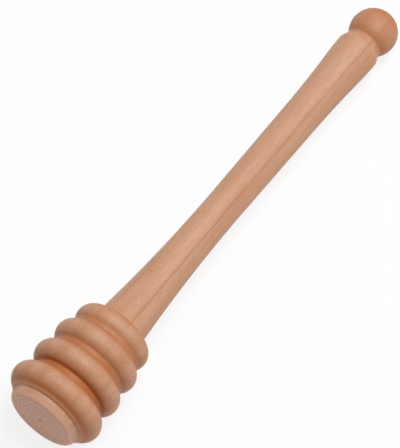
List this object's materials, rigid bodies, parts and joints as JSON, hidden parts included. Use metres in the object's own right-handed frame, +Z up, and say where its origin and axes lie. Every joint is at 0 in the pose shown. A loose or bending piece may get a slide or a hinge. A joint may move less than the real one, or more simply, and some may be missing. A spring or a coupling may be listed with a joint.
{
  "type": "honey dipper",
  "caption": "Turned wooden honey dipper with a ribbed head that holds honey, a slim waisted handle and a ball end.",
  "frame": {"origin": "on the table under the middle of the dipper as it lies at rest on its first bead and its ball", "axes": "+X along the dipper on the table from the flat end to the ball, +Z up; the turning axis falls 3 degrees towards the ball"},
  "size_m": [0.1602, 0.0292, 0.0292],
  "materials": {
    "beech": "fine-sanded, lightly oiled, satin"
  },
  "bodies": {
    "root": {"turned_dipper": "beech"}
  },
  "joints": []
}
